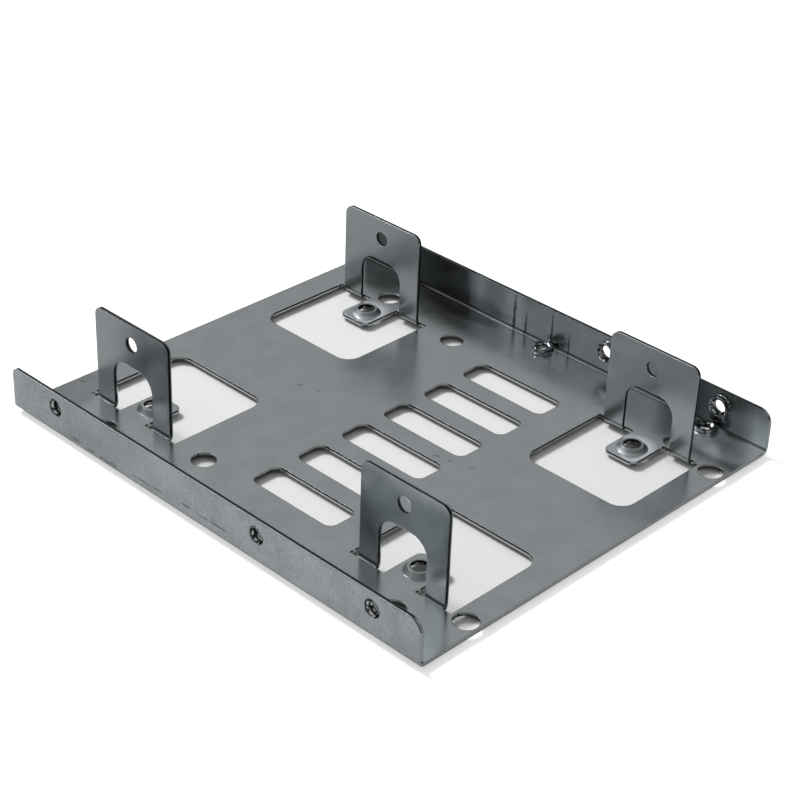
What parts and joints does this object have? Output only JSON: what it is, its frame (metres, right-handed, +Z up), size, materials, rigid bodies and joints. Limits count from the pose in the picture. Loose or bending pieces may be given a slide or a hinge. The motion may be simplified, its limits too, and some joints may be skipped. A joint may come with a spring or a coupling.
{
  "type": "drive bay adapter bracket",
  "caption": "Folded sheet-steel tray that carries small 2.5 inch drives in a 3.5 inch computer bay, with low side flanges, tall screw ears, raised screw seats and air slots.",
  "frame": {"origin": "on the underside, at the middle of the length and of the width", "axes": "+X from the rear end to the front end, +Y from the left flange to the right flange, +Z up"},
  "size_m": [0.1158, 0.1016, 0.0222],
  "materials": {
    "bracket": "satin zinc plating over rolled steel sheet"
  },
  "bodies": {
    "root": {"bracket": "bracket"}
  },
  "joints": []
}
